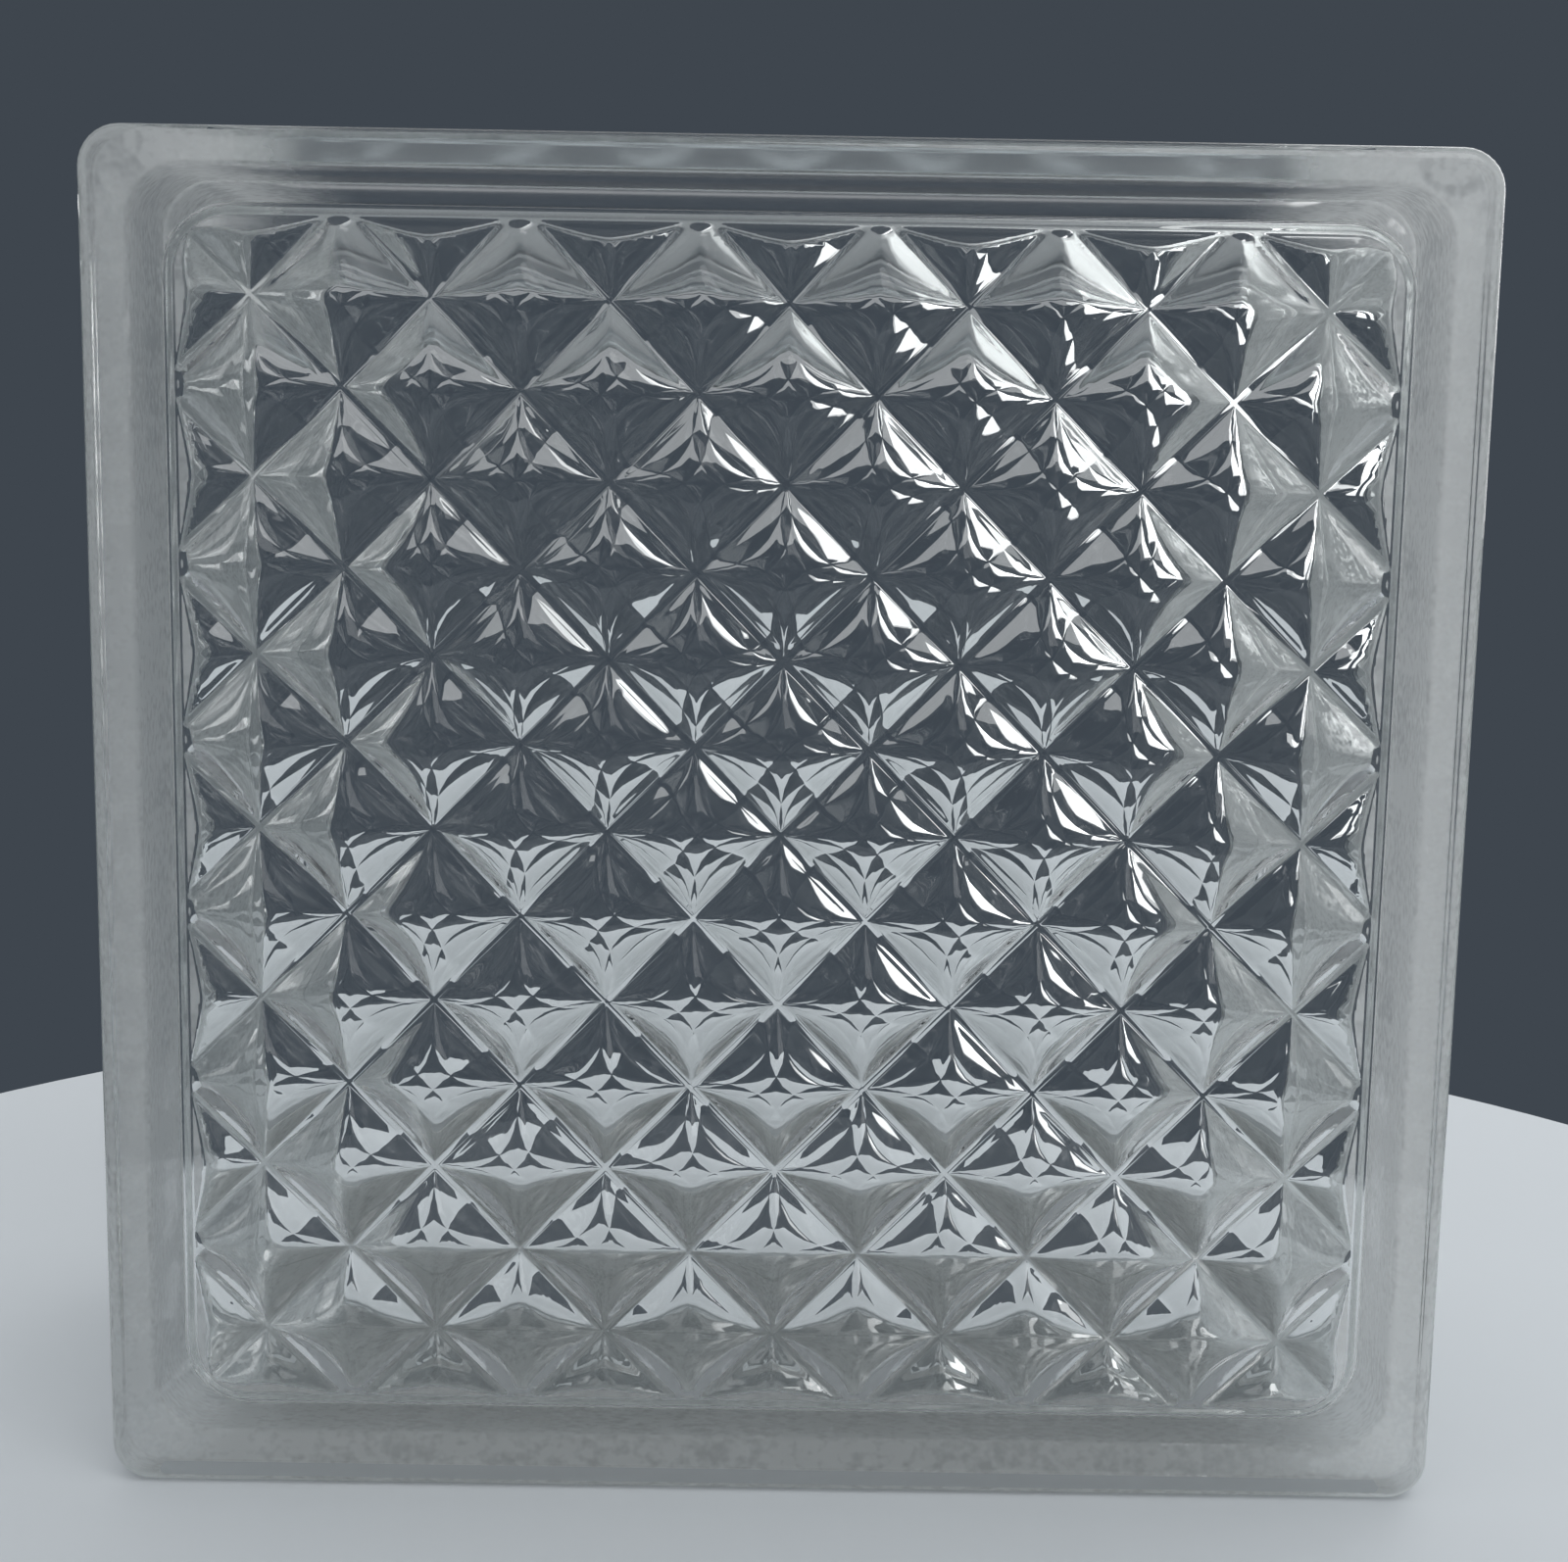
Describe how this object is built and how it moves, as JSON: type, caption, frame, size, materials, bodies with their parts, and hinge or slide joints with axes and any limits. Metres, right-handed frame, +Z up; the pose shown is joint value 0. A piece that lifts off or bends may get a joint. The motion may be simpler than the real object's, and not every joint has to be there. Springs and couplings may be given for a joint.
{
  "type": "glass block",
  "caption": "Square hollow glass block for walls: pressed halves fused at a seam, smooth outer faces, crossing diamond ridges inside each face, and a mortar channel round the sides.",
  "frame": {"origin": "middle of the footprint of the upright block, on the level it stands on", "axes": "+Z up, the face seen in the picture looks to -Y, +X to its right; the seam lies in the XZ plane"},
  "size_m": [0.1968, 0.0984, 0.1969],
  "materials": {
    "pressed_glass": "clear soda-lime glass, fire polished; the mortar channel carries a thin whitish satin coat"
  },
  "bodies": {
    "root": {"front_half": "pressed_glass", "back_half": "pressed_glass"}
  },
  "joints": []
}
